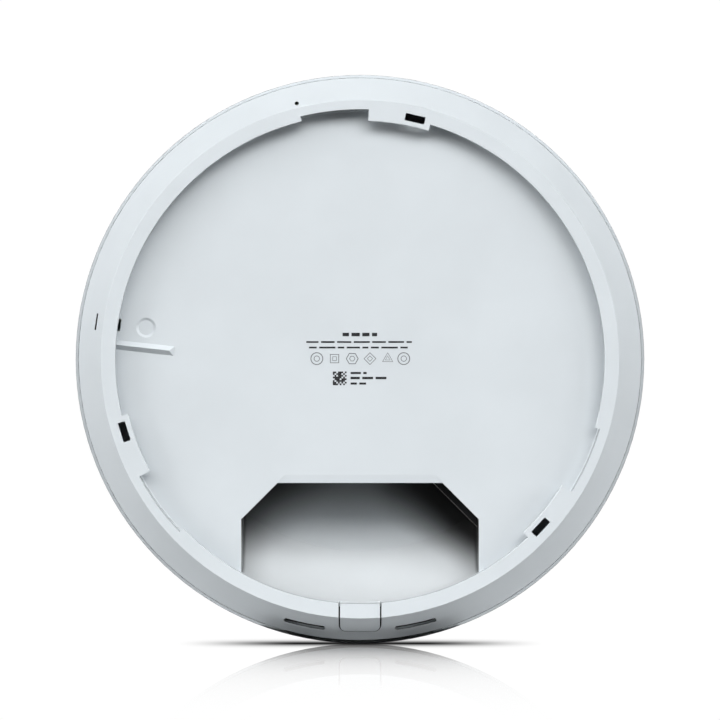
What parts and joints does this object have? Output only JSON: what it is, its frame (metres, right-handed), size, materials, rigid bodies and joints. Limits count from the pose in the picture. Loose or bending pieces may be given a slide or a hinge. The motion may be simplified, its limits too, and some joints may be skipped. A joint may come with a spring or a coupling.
{
  "type": "ceiling access point",
  "caption": "Round white ceiling access point: recessed bayonet back with a deep port bay, vents and cable exit, domed front with a light ring.",
  "frame": {"origin": "centre of the flat mounting ring, on the rear mounting plane", "axes": "disc axis along Y: -Y is the mounting side, +Y the domed front; +Z points away from the cable exit, +X to the right when the mounting side is seen from outside"},
  "size_m": [0.2064, 0.046, 0.2064],
  "materials": {
    "shell_white": "matte, fine moulded texture",
    "light_guide": "translucent, satin",
    "board_green": "lacquered circuit board",
    "chip_black": "moulded chip resin",
    "black_plastic": "matte",
    "cream_plastic": "matte nylon",
    "cast_aluminium": "die cast, bead blasted",
    "sheet_steel": "tinned sheet",
    "screw_steel": "zinc plated",
    "gilt": "gold flashed",
    "bronze": "sintered bronze",
    "copper": "enamelled winding",
    "pad_grey": "soft gap pad",
    "cable_black": "thin sheath",
    "ferrite": "sintered ferrite",
    "ceramic_tan": "ceramic",
    "can_aluminium": "satin can",
    "lamp_yellow": "phosphor",
    "flex_white": "flat cable film"
  },
  "bodies": {
    "case": {"rear_housing": "shell_white", "front_cover": "shell_white", "center_cap": "shell_white", "light_ring": "light_guide", "led_board": "board_green", "leds": "lamp_yellow", "led_screws": "screw_steel", "base_plate": "cast_aluminium", "plate_screws": "screw_steel", "main_board": "board_green", "board_screws": "screw_steel", "thermal_pads": "pad_grey", "processor": "chip_black", "memory_chips": "chip_black", "flash_chip": "chip_black", "power_chip": "chip_black", "small_capacitors": "ceramic_tan", "radio_chips": "chip_black", "network_chip": "chip_black", "bulk_capacitors": "can_aluminium", "inductors": "ferrite", "power_transformer": "ferrite", "network_magnetics": "black_plastic", "shield_frames": "sheet_steel", "shield_lids": "sheet_steel", "amplifier_chips": "chip_black", "jack_shell": "sheet_steel", "jack_insert": "black_plastic", "jack_contacts": "gilt", "port_bezel": "black_plastic", "reset_switch": "black_plastic", "fan_housing": "black_plastic", "fan_lid": "black_plastic", "fan_bearing": "bronze", "fan_stator": "copper", "fan_screws": "screw_steel", "fan_connector": "cream_plastic", "fan_cable": "cable_black", "heat_sink": "cast_aluminium", "heat_sink_screws": "screw_steel", "antenna_frame": "flex_white", "antenna_screws": "screw_steel", "antennas_2ghz": "sheet_steel", "antennas_5ghz": "sheet_steel", "antennas_6ghz": "sheet_steel", "service_antenna": "sheet_steel", "coax_connectors": "gilt", "coax_cables": "cable_black", "led_connectors": "cream_plastic", "led_cable": "flex_white"},
    "cable_cover": {"cable_cover": "shell_white"},
    "reset_plunger": {"reset_plunger": "cream_plastic"},
    "fan_rotor": {"fan_rotor": "black_plastic", "fan_shaft": "screw_steel", "fan_magnet": "ferrite"}
  },
  "joints": [
    {"name": "cable_cover_slide", "type": "slide", "parent": "case", "child": "cable_cover", "axis": [0, -1, 0], "range_m": [0, 0.012]},
    {"name": "reset_press", "type": "slide", "parent": "case", "child": "reset_plunger", "axis": [0, 1, 0], "range_m": [0, 0.00035], "stiffness_N_per_m": 50},
    {"name": "fan_spin", "type": "hinge", "parent": "case", "child": "fan_rotor", "pos_m": [-0.038, 0.0253, -0.008], "axis": [0, 1, 0], "continuous": true}
  ]
}
